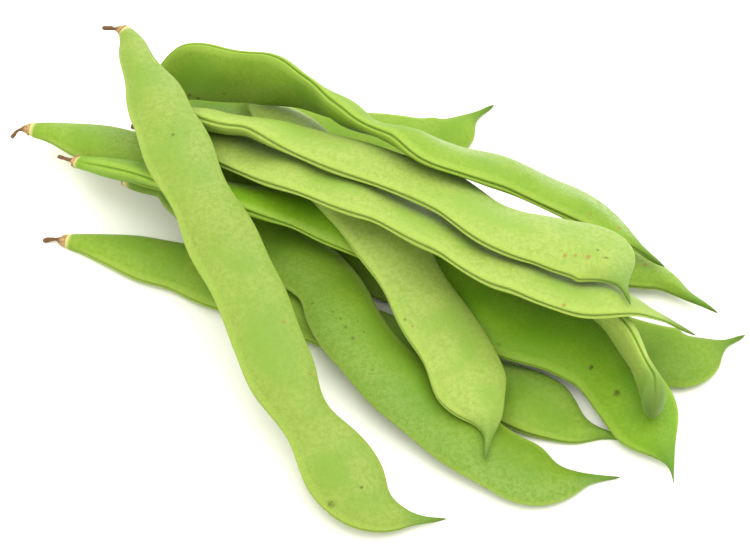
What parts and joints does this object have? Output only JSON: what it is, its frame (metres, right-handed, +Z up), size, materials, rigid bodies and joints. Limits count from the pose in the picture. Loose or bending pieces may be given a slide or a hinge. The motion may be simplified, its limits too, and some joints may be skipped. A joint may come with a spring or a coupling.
{
  "type": "green bean bundle",
  "caption": "Loose untied heap of long flat green bean pods with dry stalk ends, crossing and resting on each other, lying on a table.",
  "frame": {"origin": "on the table, under the middle of the heap's box", "axes": "+X along the heap's long side, towards most of the pods' tips; +Z up from the table"},
  "size_m": [0.2294, 0.1734, 0.0475],
  "materials": {
    "pod_skin": "satin fresh green skin, slightly mottled, paler along the edges",
    "dry_stalk": "matt, dry and fibrous"
  },
  "bodies": {
    "root": {"pod_a": "pod_skin", "pod_b": "pod_skin", "pod_c": "pod_skin", "pod_d": "pod_skin", "pod_e": "pod_skin", "pod_f": "pod_skin", "pod_g": "pod_skin", "pod_h": "pod_skin", "pod_i": "pod_skin", "pod_l": "pod_skin", "pod_m": "pod_skin", "pod_o": "pod_skin", "stalk_a": "dry_stalk", "stalk_b": "dry_stalk", "stalk_c": "dry_stalk", "stalk_d": "dry_stalk", "stalk_e": "dry_stalk", "stalk_f": "dry_stalk", "stalk_g": "dry_stalk", "stalk_h": "dry_stalk", "stalk_i": "dry_stalk", "stalk_l": "dry_stalk", "stalk_m": "dry_stalk", "stalk_o": "dry_stalk"}
  },
  "joints": []
}
